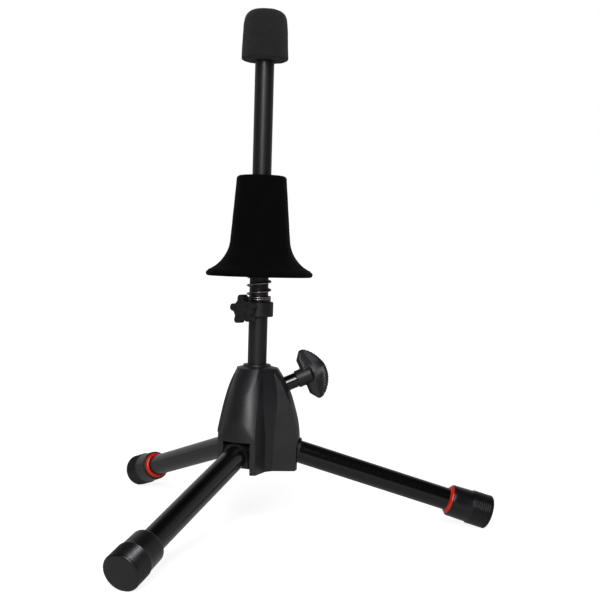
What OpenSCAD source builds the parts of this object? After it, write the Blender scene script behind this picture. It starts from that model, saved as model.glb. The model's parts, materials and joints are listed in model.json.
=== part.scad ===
// Folding tripod stand for a straight saxophone or a flugelhorn.
// Millimetres, +Z up, floor at z = 0. The origin is the middle of the stand's footprint.
// Leg 1 points to +X, legs 2 and 3 stand at 120 and 240 degrees around the rod.

/* [Rod] */
// outside diameter of the upright rod
rod_d = 16; // [14:0.5:18]
// height of the top of the foam tip above the floor
stand_h = 436; // [420:1:470]
// wall thickness of the rod tube
rod_wall = 1.3; // [1:0.1:2]

/* [Hub] */
// height of the hub's underside above the floor
hub_z0 = 51.5; // [50.5:0.5:53]
// height of the hub's top above the floor
hub_z1 = 139.5; // [138:0.5:142]
// radius of the hub's lower part around the rod
hub_r = 37; // [36.5:0.1:38]
// half width of each lobe at its foot
lobe_hw = 16.4; // [16.2:0.1:16.8]
// height of the leg slots' ceiling, where the legs stop when they are open
slot_z1 = 78.1; // [77.5:0.1:79]
// thickness of the plate under the hub
base_t = 4; // [3:0.5:5]

/* [Legs] */
// outside diameter of the leg tubes
leg_d = 19; // [18:0.5:19.5]
// slope of an open leg below level, in degrees
leg_slope = 17.4; // [16.5:0.1:18]
// distance from the rod's axis to the middle of a foot's end face
foot_reach = 204.5; // [180:0.5:230]
// distance from the rod's axis to a leg's pivot
pivot_r = 21; // [20.8:0.1:21.5]
// wall thickness of the leg tubes
leg_wall = 1.4; // [1:0.1:2]

/* [Feet] */
// outside diameter of a foot cap over its ribs
cap_d = 29.4; // [28:0.2:30]
// length of a foot cap
cap_len = 36.5; // [33:0.5:38]
// number of ribs round a foot cap
cap_ribs = 8; // [4:1:8]

/* [Bell cone] */
// height of the cone's top above the floor
cone_z1 = 297.7; // [296:0.1:302]
// height of the cone's underside above the floor
cone_z0 = 213.3; // [212.8:0.1:214]
// radius of the cone's rim
cone_r = 45.1; // [42:0.05:48]
// thickness of the velvet cover
velvet_t = 1; // [0.8:0.1:1.4]

/* [Spring and collar] */
// wire diameter of the spring
wire_d = 1.6; // [1.2:0.1:1.8]
// outside diameter of the spring
spring_d = 20.9; // [20.3:0.1:21.2]
// height of the collar's top above the floor
collar_z1 = 192.15; // [190:0.05:193]
// height of the collar
collar_h = 12.5; // [12:0.5:14]
// outside diameter of the collar
collar_d = 25; // [24:0.5:27]

/* [Knobs] */
// direction of the star knob round the rod, in degrees
star_az = 225.7; // [200:0.1:280]
// radius of the star knob's points
star_r = 12.5; // [11.5:0.1:13]
// slope of the wing knob's axis above level, in degrees
wing_slope = 23.7; // [22:0.1:26]
// span of the wing knob
wing_span = 44; // [38:1:46]
// thickness of the wing
wing_t = 8; // [6:0.5:9]
// turn of each half of the wing about its own span, in degrees
wing_pitch = 20; // [0:1:25]

/* [Foam tip] */
// diameter of the foam tip at its foot
foam_d = 39.4; // [36:0.2:44]
// length of the foam tip
foam_len = 42.3; // [41.5:0.1:44]

/* [Hidden] */
$fn = 96;

gap = 0.05;                 // radial running clearance
seat = 0.02;                // clearance between pieces that are fixed to each other
rod_r = rod_d / 2;
leg_r = leg_d / 2;

// feet: the end face's rounded edge rests on the floor and is worn flat by a little
cap_r = cap_d / 2;
edge_r = 2;
wear = 0.35;
foot_z = (cap_r - edge_r) * cos(leg_slope) + edge_r * (1 - sin(leg_slope)) - wear;
leg_len = (foot_reach - pivot_r) / cos(leg_slope);
pivot_z = foot_z + leg_len * sin(leg_slope);

// the rod's place, so that the footprint's box is centred on the origin
foot_x1 = foot_reach - edge_r * cos(leg_slope) + (cap_r - edge_r) * sin(leg_slope) + edge_r;
tip_dot = cos(leg_slope) / 2;
foot_x0 = foot_reach / 2 - edge_r * tip_dot + (cap_r - edge_r) * sqrt(1 - tip_dot * tip_dot) + edge_r;
rod_x = (foot_x0 - foot_x1) / 2;

// hub
slot_hw = 12.3;
slot_r0 = pivot_r - 10.4;
pin_r = 2.5;
pin_hl = 15;
eye_r = 9.2;
knuckle_hw = slot_hw - 0.4;
knuckle_low = 9.4;
flange_x = 16;
flange_t = 1.6;
flange_r = 10.6;
arch_rise = 0.9;
web_d = 21.1;
web_top_d = 16.8;
crown_r = 17.9;
screw_d = 17.1;
base_top = hub_z0 + base_t;
ogive_z0 = slot_z1;

// wing knob: distances run along its axis from the point where it leaves the hub
wing_p = [24.3, 0, hub_z0 + 70.95];
bush_r = 6.3;
bush_in = 10;
bush_out = 10.3;
stud_r = 3.95;
pad_r = 4.5;
pad_end = -14.4;
boss_r = 7.4;
wing_in = 16.5;
wing_out = 36.6;
wing_arc_r = 36;
wing_mid = 25;
wing_roll = -18;

// star knob: distances run outwards from the rod's axis
star_z = collar_z1 - collar_h / 2;
star_in = 15.5;
star_out = 22.3;
star_stud_r = 2.95;
star_pad_r = 3.4;
star_pad_end = 9.4;

// spring
spring_top = cone_z0 + 8.2;
spring_r = spring_d / 2;
closed_turns = 2.2;
open_turns = 2.9;

foam_z0 = stand_h - foam_len;

module round_rod_x(a, b, r) {
    translate([a, 0, 0]) rotate([0, 90, 0]) cylinder(h = b - a, r = r);
}

module placed() { translate([rod_x, 0, 0]) children(); }
module at_leg(k) { placed() rotate([0, 0, 120 * (k - 1)]) children(); }
module leg_frame(k) {
    at_leg(k) translate([pivot_r, 0, pivot_z]) rotate([0, leg_slope, 0]) children();
}
module wing_frame() { placed() translate(wing_p) rotate([0, -wing_slope, 0]) children(); }
module star_frame() { placed() translate([0, 0, star_z]) rotate([0, 0, star_az]) children(); }
// turned about the leg's line, a profile's x is a radius and its y runs from the foot's end
module foot_turn(k) {
    leg_frame(k) translate([leg_len, 0, 0]) rotate([0, -90, 0]) rotate_extrude() children();
}

function mix(a, b, t) = a + (b - a) * t;
function bezier(p, t) = pow(1 - t, 3) * p[0] + 3 * t * pow(1 - t, 2) * p[1]
                        + 3 * t * t * (1 - t) * p[2] + pow(t, 3) * p[3];
function bezier_points(p, n) = [for (i = [0:n]) bezier(p, i / n)];
function arc(c, r, a0, a1, n) = [for (i = [0:n]) c + r * [cos(mix(a0, a1, i / n)), sin(mix(a0, a1, i / n))]];

// ---- hub ----
ogive_ends = [[hub_r + 0.9, ogive_z0], [hub_r, hub_z0 + 44.5], [31.5, hub_z0 + 66.5],
              [crown_r, hub_z1 - 3]];

module hub_profile() {
    polygon(concat([[0, hub_z0], [hub_r, hub_z0], [hub_r, ogive_z0 - 0.01]], bezier_points(ogive_ends, 24),
                   [[12.2, hub_z1 - 1.6], [11.8, hub_z1 - 1.4], [11.6, hub_z1 - 0.2], [11.4, hub_z1],
                    [0, hub_z1]]));
}
// a lobe seen along its own direction: upright at its foot, tapering above the slot
function lobe_edge(s) = [[s * lobe_hw, hub_z0], [s * lobe_hw, ogive_z0 + 0.4], [s * 14.5, hub_z0 + 48.5],
                         [s * 13.6, hub_z0 + 68.5], [s * 11.6, hub_z1]];
function reversed(p) = [for (i = [len(p) - 1:-1:0]) p[i]];
module lobes() {
    for (a = [0, 120, 240])
        rotate([0, 0, a]) rotate([90, 0, 90]) linear_extrude(height = 60)
            polygon(concat(lobe_edge(1), reversed(lobe_edge(-1))));
}
module webs() {
    for (a = [60, 180, 300])
        rotate([0, 0, a]) rotate([90, 0, 0]) translate([0, 0, -12]) linear_extrude(height = 24)
            polygon([[0, hub_z0], [web_d, hub_z0], [web_d, hub_z0 + 32], [web_d - 0.7, hub_z0 + 48.5],
                     [web_d - 1.2, hub_z0 + 68.5], [web_top_d, hub_z1 - 2.8], [0, hub_z1 + 1]]);
}
module hub_solid() {
    intersection() {
        rotate_extrude() hub_profile();
        union() {
            lobes();
            webs();
            translate([0, 0, hub_z0]) cylinder(h = hub_z1 - hub_z0, r = 12);
        }
    }
}
module slots() {
    for (a = [0, 120, 240]) rotate([0, 0, a]) {
        translate([slot_r0, -slot_hw, hub_z0 - 1]) cube([60, 2 * slot_hw, slot_z1 - hub_z0 + 1]);
        translate([pivot_r, slot_hw, pivot_z]) rotate([90, 0, 0]) cylinder(h = 2 * slot_hw, r = 9.8);
    }
}
module pin_grooves() {
    for (a = [0, 120, 240]) rotate([0, 0, a]) {
        translate([pivot_r, pin_hl + 0.1, pivot_z]) rotate([90, 0, 0])
            cylinder(h = 2 * pin_hl + 0.2, r = pin_r + seat);
        translate([pivot_r - pin_r - seat, -pin_hl - 0.1, base_top - 1])
            cube([2 * (pin_r + seat), 2 * pin_hl + 0.2, pivot_z - base_top + 1]);
    }
}
module screw_places() {
    for (a = [60, 180, 300]) rotate([0, 0, a]) translate([screw_d, 0, 0]) children();
}
module hub_body() {
    color("#17181a") placed() difference() {
        hub_solid();
        translate([0, 0, hub_z0 - 1]) cube([200, 200, 2 * base_t + 2], center = true);
        slots();
        pin_grooves();
        translate([0, 0, hub_z0 - 1]) cylinder(h = hub_z1, r = rod_r + gap);
        translate([0, 0, hub_z1 - 0.6]) cylinder(h = 2, r = rod_r + 0.9);
        screw_places() translate([0, 0, base_top - 1]) cylinder(h = 13, r = 1.5);
        translate(wing_p) rotate([0, -wing_slope, 0]) {
            round_rod_x(-bush_in, 30, bush_r + seat);
            round_rod_x(-22, 0, pad_r + gap);
        }
    }
}
module hub_base() {
    color("#141516") placed() {
        difference() {
            hub_solid();
            translate([-100, -100, base_top]) cube([200, 200, 100]);
            slots();
            translate([0, 0, hub_z0 - 1]) cylinder(h = base_t + 2, r = 5);
            screw_places() {
                translate([0, 0, hub_z0 - 1]) cylinder(h = base_t + 2, r = 1.6);
                translate([0, 0, hub_z0 - 1]) cylinder(h = 2.8, r = 3);
            }
            translate([0, 0, hub_z0 - 0.01]) difference() {
                cylinder(h = 0.8, r = 60);
                cylinder(h = 0.8, r1 = hub_r - 0.8, r2 = hub_r);
            }
        }
        for (a = [0, 120, 240], s = [-1, 1])
            rotate([0, 0, a]) translate([pivot_r - 2.35, s > 0 ? slot_hw + 0.15 : -pin_hl, base_top - 1])
                cube([4.7, pin_hl - slot_hw - 0.15, pivot_z - pin_r - base_top + 0.98]);
    }
}
module base_screws() {
    color("#8f9396") placed() screw_places() difference() {
        union() {
            translate([0, 0, hub_z0 + 0.2]) cylinder(h = 1.58, r = 2.8);
            translate([0, 0, hub_z0 + 1.5]) cylinder(h = 12.5, r = 1.48);
        }
        for (a = [0, 90])
            translate([0, 0, hub_z0 + 0.5]) rotate([0, 0, a]) cube([3.2, 0.7, 1.2], center = true);
    }
}
module pivot_pins() {
    color("#a3a6a9") for (k = [1, 2, 3]) at_leg(k)
        translate([pivot_r, pin_hl, pivot_z]) rotate([90, 0, 0]) cylinder(h = 2 * pin_hl, r = pin_r);
}

// ---- legs ----
// the knuckle is arched on top, and its top is cut off level where it meets the slot's ceiling
module arch(r) {
    intersection() {
        translate([0, arch_rise]) union() {
            circle(r = r);
            translate([-r, -2 * r]) square([2 * r, 2 * r]);
        }
        translate([-r, -knuckle_low]) square([2 * r, 3 * r]);
    }
}
module knuckle_block(k) {
    leg_frame(k) {
        rotate([90, 0, 0]) cylinder(h = 2 * knuckle_hw, r = eye_r, center = true);
        rotate([90, 0, 90]) linear_extrude(height = flange_x - flange_t) intersection() {
            arch(flange_r - 0.7);
            translate([-30, -8]) square([60, 60]);
        }
        translate([flange_x - flange_t, 0, 0]) rotate([90, 0, 90]) linear_extrude(height = flange_t)
            arch(flange_r);
    }
}
module knuckle(k) {
    color("#1b1c1e") difference() {
        union() {
            difference() {
                knuckle_block(k);
                at_leg(k) translate([0, -20, slot_z1 - 0.03]) cube([pivot_r + 16, 40, 20]);
            }
            leg_frame(k) round_rod_x(flange_x - 0.5, flange_x + 24, leg_r - leg_wall - seat);
        }
        leg_frame(k) rotate([90, 0, 0]) cylinder(h = 60, r = pin_r + gap, center = true);
        leg_frame(k) for (s = [-1, 1])
            translate([9.5, s > 0 ? 4.5 : -24.5, -10]) cube([flange_x - flange_t - 10, 20, 14]);
    }
}
module leg_knuckle_1() { knuckle(1); }
module leg_knuckle_2() { knuckle(2); }
module leg_knuckle_3() { knuckle(3); }

module tube(k) {
    color("#0f1011") leg_frame(k) difference() {
        round_rod_x(flange_x, leg_len - 5, leg_r);
        round_rod_x(flange_x - 1, leg_len, leg_r - leg_wall);
    }
}
module leg_tube_1() { tube(1); }
module leg_tube_2() { tube(2); }
module leg_tube_3() { tube(3); }

module foot_ring(k) {
    nose = bezier_points([[12.1, cap_len], [12, cap_len + 1.1], [11.1, cap_len + 2.2],
                          [9.7, cap_len + 2.6]], 10);
    color("#e2340c") foot_turn(k)
        polygon(concat([[leg_r + seat, cap_len - 4.5], [11, cap_len - 4.5], [11, cap_len]], nose,
                       [[leg_r + seat, cap_len + 2.6]]));
}
module foot_ring_1() { foot_ring(1); }
module foot_ring_2() { foot_ring(2); }
module foot_ring_3() { foot_ring(3); }

rib_pitch = 1.9;
rib_y0 = 2.7;
function rib(i) = [[cap_r - 0.75, rib_y0 + i * rib_pitch], [cap_r - 0.1, rib_y0 + (i + 0.3) * rib_pitch],
                   [cap_r - 0.1, rib_y0 + (i + 0.6) * rib_pitch],
                   [cap_r - 0.75, rib_y0 + (i + 0.9) * rib_pitch]];
module cap_profile() {
    ribs = [for (i = [0:cap_ribs - 1]) each rib(i)];
    rib_end = rib_y0 + cap_ribs * rib_pitch;
    polygon(concat([[0, 0]], arc([cap_r - edge_r, edge_r], edge_r, -90, 0, 10), ribs,
                   [[cap_r - 0.75, rib_end], [cap_r - 0.95, rib_end + 0.5], [13.4, cap_len - 0.8],
                    [13.2, cap_len - 0.25], [12.75, cap_len], [11 + seat, cap_len],
                    [11 + seat, cap_len - 4.6], [leg_r + seat, cap_len - 4.6],
                    [leg_r + seat, 5], [0, 5]]));
}
module cap(k) {
    color("#1c1d1f") difference() {
        foot_turn(k) cap_profile();
        translate([-400, -400, -20]) cube([800, 800, 20]);
    }
}
module foot_cap_1() { cap(1); }
module foot_cap_2() { cap(2); }
module foot_cap_3() { cap(3); }

// ---- rod ----
rod_z0 = base_top + 1.5;
rod_z1 = stand_h - 9.5;
module rod_tube() {
    color("#0e0f10") placed() difference() {
        translate([0, 0, rod_z0]) cylinder(h = rod_z1 - rod_z0, r = rod_r);
        translate([0, 0, rod_z0 - 1]) cylinder(h = rod_z1 - rod_z0 + 2, r = rod_r - rod_wall);
    }
}
module rod_bottom_plug() {
    color("#2b2c2e") placed() {
        translate([0, 0, base_top]) cylinder(h = 1.5, r = rod_r - 0.2);
        translate([0, 0, base_top]) cylinder(h = 14, r = rod_r - rod_wall - seat);
    }
}
module rod_top_plug() {
    color("#2b2c2e") placed() {
        translate([0, 0, rod_z1]) cylinder(h = 1.5, r = rod_r - 0.2);
        translate([0, 0, rod_z1 - 12]) cylinder(h = 12.5, r = rod_r - rod_wall - seat);
    }
}
module foam_tip() {
    r0 = foam_d / 2;
    shoulder = bezier_points([[r0 - 0.9, foam_z0 + 24], [r0 - 1.6, stand_h - 4],
                              [r0 - 2.7, stand_h - 0.1], [0.01, stand_h]], 20);
    color("#232427") placed() difference() {
        rotate_extrude() polygon(concat([[0, foam_z0]], arc([r0 - 2, foam_z0 + 2], 2, -90, 0, 6),
                                        shoulder, [[0, stand_h]]));
        translate([0, 0, foam_z0 - 1]) cylinder(h = rod_z1 + 1.5 + seat - foam_z0 + 1, r = rod_r + seat);
    }
}

// ---- bell cone ----
// the outer line of the cone from the rim up to the top edge, drawn in by a thickness
function flare(t) = bezier_points([[43 - 0.35 * t, cone_z0 + 5.4 - t],
                                   [34.5 - 0.5 * t, cone_z0 + 8.7 - 0.9 * t],
                                   [27 - 0.9 * t, cone_z0 + 17.7 - 0.5 * t],
                                   [25.4 - t, cone_z0 + 28.7]], 16);
module cone_line(t) {
    rim = arc([cone_r - 2.3, cone_z0 + 2.3], 2.3 - t, -90, 75, 10);
    polygon(concat([[0, cone_z0 + t]], rim, flare(t), [[21.1 - t, cone_z1 - 3.4]],
                   arc([18.2, cone_z1 - 3], 3 - t, 10, 90, 6), [[0, cone_z1 - t]]));
}
module cone_cover() {
    color("#0b0b0d") placed() rotate_extrude() difference() {
        cone_line(0);
        cone_line(velvet_t);
        square([rod_r + 0.6, 400]);
        translate([0, cone_z0 - 1]) square([cone_r - 7, 3]);
    }
}
module cone_core() {
    color("#202124") placed() rotate_extrude() difference() {
        cone_line(velvet_t + seat);
        square([rod_r + 0.3, 400]);
        translate([0, 200]) square([spring_r + 0.45, spring_top - 200]);
        translate([0, cone_z0])
            polygon([[14, -5], [14, 74], [17.6, 74], [20.4, 38], [22, 24.5], [25.5, 15], [31.5, 8], [37, 5.9],
                     [37, -5]]);
    }
}

// ---- spring and collar ----
// the height of the wire's middle after a number of turns: closed, open, closed
spring_h = spring_top - collar_z1 - wire_d;
spring_pitch = (spring_h - 2 * closed_turns * (wire_d + 0.03)) / open_turns;
function wire_z(n) = n < closed_turns ? n * (wire_d + 0.03)
    : n < closed_turns + open_turns
    ? closed_turns * (wire_d + 0.03) + (n - closed_turns) * spring_pitch
    : (n - open_turns) * (wire_d + 0.03) + open_turns * spring_pitch;
module spring() {
    turns = 2 * closed_turns + open_turns;
    steps = 26;
    sides = 10;
    rings = ceil(turns * steps);
    mid = spring_r - wire_d / 2;
    pts = [for (i = [0:rings], j = [0:sides - 1])
           let (n = i * turns / rings, a = 360 * n, b = 360 * j / sides, m = mid + cos(b) * wire_d / 2)
           [m * cos(a), m * sin(a), collar_z1 + wire_d / 2 + wire_z(n) + sin(b) * wire_d / 2]];
    walls = [for (i = [0:rings - 1], j = [0:sides - 1])
             let (a = i * sides + j, b = i * sides + (j + 1) % sides)
             [a, b, b + sides, a + sides]];
    start = [for (j = [0:sides - 1]) sides - 1 - j];
    end = [for (j = [0:sides - 1]) rings * sides + j];
    color("#8c7d66") placed() polyhedron(points = pts, faces = concat(walls, [start, end]));
}
module stop_collar() {
    z0 = collar_z1 - collar_h;
    r = collar_d / 2;
    color("#232426") difference() {
        union() {
            placed() rotate_extrude()
                polygon([[0, z0], [r - 0.6, z0], [r, z0 + 0.6], [r, collar_z1 - 0.6], [r - 0.6, collar_z1],
                         [0, collar_z1]]);
            star_frame() round_rod_x(6, star_in - 0.7, 6);
        }
        placed() translate([0, 0, z0 - 1]) cylinder(h = collar_h + 2, r = rod_r + gap);
        star_frame() {
            round_rod_x(0, 11.6, star_pad_r + gap);
            round_rod_x(0, 30, star_stud_r + gap);
        }
    }
}
module collar_pad() {
    color("#b08d4f") difference() {
        star_frame() round_rod_x(4, star_pad_end, star_pad_r);
        placed() cylinder(h = 400, r = rod_r + 0.01);
    }
}
module star_shape() {
    circle(r = 0.66 * star_r);
    for (a = [8:72:367]) rotate([0, 0, a + 90]) {
        translate([star_r - 3.1, 0]) circle(r = 3.1);
        polygon([[0, -0.56 * star_r], [star_r - 3.6, -3.06], [star_r - 3.6, 3.06], [0, 0.56 * star_r]]);
    }
}
module star_knob() {
    color("#1f2023") star_frame() difference() {
        union() {
            translate([star_in, 0, 0]) rotate([90, 0, 90])
                linear_extrude(height = star_out - star_in) star_shape();
            round_rod_x(star_in - 0.3, star_out, 5);
        }
        round_rod_x(star_in - 5, star_out - 2, star_stud_r + seat);
        for (a = [8:72:367]) rotate([a, 0, 0])
            translate([star_out - 0.4, 0, 4.6]) linear_extrude(height = 4.6) square([2, 0.5], center = true);
    }
}
module star_stud() {
    color("#9a9ea1") star_frame() round_rod_x(star_pad_end + 0.01, star_out - 2.02, star_stud_r);
}

// ---- wing knob ----
module t_sleeve() {
    color("#050506") wing_frame() difference() {
        round_rod_x(-bush_in + 0.02, bush_out, bush_r);
        round_rod_x(-bush_in - 1, bush_out + 1, stud_r + gap);
    }
}
module clamp_pad() {
    color("#b08d4f") difference() {
        wing_frame() round_rod_x(-22, pad_end, pad_r);
        placed() cylinder(h = 400, r = rod_r + 0.01);
    }
}
module t_stud() {
    color("#9a9ea1") wing_frame() round_rod_x(pad_end + 0.01, wing_in + 11, stud_r);
}
module wing_shape() {
    intersection() {
        translate([wing_out - wing_arc_r, 0]) circle(r = wing_arc_r);
        translate([wing_in, 0]) square([40, wing_span / 2]);
        polygon([[wing_in, -1], [wing_in, wing_span / 2 - 6], [wing_in + 5.5, wing_span / 2 + 1], [60, 60],
                 [60, -1]]);
    }
}
// half of the wing, turned about its own span, with ribs across its outer edge
module wing_half() {
    translate([wing_mid, 0, 0]) rotate([0, 0, wing_pitch]) translate([-wing_mid, wing_t / 2, 0])
        rotate([90, 0, 0]) {
            linear_extrude(height = wing_t) wing_shape();
            for (i = [0:9]) translate([wing_out - wing_arc_r, 0, 0]) rotate([0, 0, 3.7 * i + 1.85])
                translate([wing_arc_r, 0, 0]) cylinder(h = wing_t, r = 0.5);
        }
}
module t_knob() {
    color("#17181a") wing_frame() rotate([wing_roll, 0, 0]) difference() {
        union() {
            round_rod_x(bush_out + 0.3, wing_out - 1.5, boss_r);
            wing_half();
            rotate([180, 0, 0]) wing_half();
        }
        round_rod_x(0, wing_in + 11.02, stud_r + seat);
    }
}

hub_body();
hub_base();
base_screws();
pivot_pins();
t_sleeve();
leg_knuckle_1();
leg_knuckle_2();
leg_knuckle_3();
leg_tube_1();
leg_tube_2();
leg_tube_3();
foot_ring_1();
foot_ring_2();
foot_ring_3();
foot_cap_1();
foot_cap_2();
foot_cap_3();
rod_tube();
rod_bottom_plug();
rod_top_plug();
foam_tip();
cone_core();
cone_cover();
spring();
stop_collar();
collar_pad();
star_knob();
star_stud();
clamp_pad();
t_knob();
t_stud();
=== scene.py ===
"""Looks of the saxophone stand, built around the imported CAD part. Lengths in the shapes are millimetres."""
import json
import math

import bmesh
import bpy
import numpy as np
from mathutils import Matrix, Vector, geometry, noise


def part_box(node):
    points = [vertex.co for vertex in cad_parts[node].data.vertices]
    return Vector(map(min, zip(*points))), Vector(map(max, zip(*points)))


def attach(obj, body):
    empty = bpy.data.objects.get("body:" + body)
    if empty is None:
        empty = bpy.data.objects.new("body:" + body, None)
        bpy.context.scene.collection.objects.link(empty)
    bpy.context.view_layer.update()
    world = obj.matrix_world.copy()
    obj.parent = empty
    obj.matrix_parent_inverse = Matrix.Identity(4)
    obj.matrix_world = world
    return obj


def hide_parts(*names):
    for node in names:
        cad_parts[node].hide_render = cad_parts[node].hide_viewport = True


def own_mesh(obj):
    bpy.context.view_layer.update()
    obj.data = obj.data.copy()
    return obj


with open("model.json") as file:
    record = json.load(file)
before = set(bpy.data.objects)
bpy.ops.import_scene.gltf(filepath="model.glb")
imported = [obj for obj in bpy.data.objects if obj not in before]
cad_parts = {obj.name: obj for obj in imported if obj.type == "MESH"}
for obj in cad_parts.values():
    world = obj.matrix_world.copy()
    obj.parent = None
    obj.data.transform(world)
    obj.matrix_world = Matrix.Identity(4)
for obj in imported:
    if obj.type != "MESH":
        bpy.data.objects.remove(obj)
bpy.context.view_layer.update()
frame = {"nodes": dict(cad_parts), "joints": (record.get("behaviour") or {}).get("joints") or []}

MM = 0.001
LEGS = (1, 2, 3)
NODES = frame["nodes"]
JOINTS = {joint["name"]: joint for joint in frame["joints"]}


# ---- places, read from the frame ----
def box_mm(node):
    """The lowest and highest corner of a CAD node, in millimetres."""
    low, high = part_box(node)
    return low / MM, high / MM


def leg_name(part, k):
    """The name of a leg's node, body or piece."""
    return f"{part}_{k}"


ROD_LOW, ROD_HIGH = box_mm("rod_tube")
ROD_X = (ROD_LOW.x + ROD_HIGH.x) / 2
ROD_R = (ROD_HIGH.x - ROD_LOW.x) / 2
HUB_Z0 = box_mm("hub_base")[0].z
HUB_Z1 = box_mm("hub_body")[1].z
BASE_TOP = box_mm("hub_body")[0].z
FOAM_LOW, FOAM_HIGH = box_mm("foam_tip")
CONE_LOW, CONE_HIGH = box_mm("cone_cover")
SPRING_LOW, SPRING_HIGH = box_mm("spring")
ON_ROD = Matrix.Translation((ROD_X, 0, 0))
# The legs: slope below level in degrees, length from the pivot to the end, and the tube's radius
LEG_SLOPE = 17.4
LEG_LEN = 192.3
LEG_R = 9.5
# The legs' pivots: distance from the rod's axis, height, and the pins' radius
PIVOT_R = 21.0
PIN_R = 2.5
PIVOT_Z = box_mm("pivot_pins")[0].z + PIN_R


def leg_frame(k):
    """The frame of leg k: its origin is the pivot, and +X runs down the leg."""
    turn = Matrix.Rotation(math.radians(120 * (k - 1)), 4, "Z")
    tilt = Matrix.Rotation(math.radians(LEG_SLOPE), 4, "Y")
    return ON_ROD @ turn @ Matrix.Translation((PIVOT_R, 0, PIVOT_Z)) @ tilt


# ---- meshes ----
def make_piece(name, points, faces, place, body, node, slot, sharp=35):
    """A piece from points in millimetres in its own frame. It rides on a body and stands for a CAD node."""
    mesh = bpy.data.meshes.new(name)
    mesh.from_pydata([(place @ Vector(p)) * MM for p in points], [], faces)
    mesh.validate()
    mesh.update()
    piece = bpy.data.objects.new(name, mesh)
    bpy.context.scene.collection.objects.link(piece)
    smooth(mesh, sharp)
    mesh.materials.append(MATERIALS[slot])
    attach(piece, body)
    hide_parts(node)
    return piece


def smooth(mesh, sharp):
    """Smooth shading, except over edges sharper than an angle in degrees."""
    mesh.polygons.foreach_set("use_smooth", [True] * len(mesh.polygons))
    mesh.set_sharp_from_angle(angle=math.radians(sharp))


def round_edges(piece, width, sharp=30, segments=3):
    """Rounds the edges sharper than an angle in degrees, by a width in millimetres."""
    bevel = piece.modifiers.new("edges", "BEVEL")
    bevel.width = width * MM
    bevel.segments = segments
    bevel.limit_method = "ANGLE"
    bevel.angle_limit = math.radians(sharp)
    bevel.harden_normals = True


def lathe(profile, segments):
    """Points and faces of a closed profile of (radius, height), turned about Z."""
    points, faces = [], []
    count = len(profile)
    for i in range(segments):
        angle = 2 * math.pi * i / segments
        points += [(r * math.cos(angle), r * math.sin(angle), z) for r, z in profile]
    for i in range(segments):
        a, b = i * count, (i + 1) % segments * count
        for j in range(count):
            k = (j + 1) % count
            faces.append((a + j, b + j, b + k, a + k))
    return points, faces


def loft_faces(rings, count):
    """Faces of a closed solid whose points are rings of count points, one after another."""
    faces = []
    for i in range(rings - 1):
        a, b = i * count, (i + 1) * count
        for j in range(count):
            k = (j + 1) % count
            faces.append((a + j, a + k, b + k, b + j))
    faces.append(tuple(range(count))[::-1])
    faces.append(tuple((rings - 1) * count + j for j in range(count)))
    return faces


def arc(centre, radius, start, end, count):
    """Points on a circle between two angles in degrees, both ends included."""
    angles = np.radians(np.linspace(start, end, count + 1))
    return [(centre[0] + radius * math.cos(a), centre[1] + radius * math.sin(a)) for a in angles]


def bezier(ends, count):
    """Points on a cubic curve, both ends included."""
    p = np.array(ends, float)
    t = np.linspace(0, 1, count + 1)[:, None]
    curve = (1 - t) ** 3 * p[0] + 3 * t * (1 - t) ** 2 * p[1] + 3 * t * t * (1 - t) * p[2] + t ** 3 * p[3]
    return [tuple(q) for q in curve]


class Shell:
    """Collects faces given by their corners, and shares corners that coincide."""

    def __init__(self):
        self.points, self.faces, self.index = [], [], {}

    def corner(self, p):
        """The number of a corner; a new one if nothing is there yet."""
        key = tuple(round(c, 4) for c in p)
        if key not in self.index:
            self.index[key] = len(self.points)
            self.points.append(tuple(p))
        return self.index[key]

    def face(self, corners):
        """Adds a face, without the corners that coincide."""
        ring = []
        for c in (self.corner(p) for p in corners):
            if not ring or ring[-1] != c:
                ring.append(c)
        if len(ring) > 1 and ring[0] == ring[-1]:
            ring.pop()
        if len(set(ring)) > 2:
            self.faces.append(ring)


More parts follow.
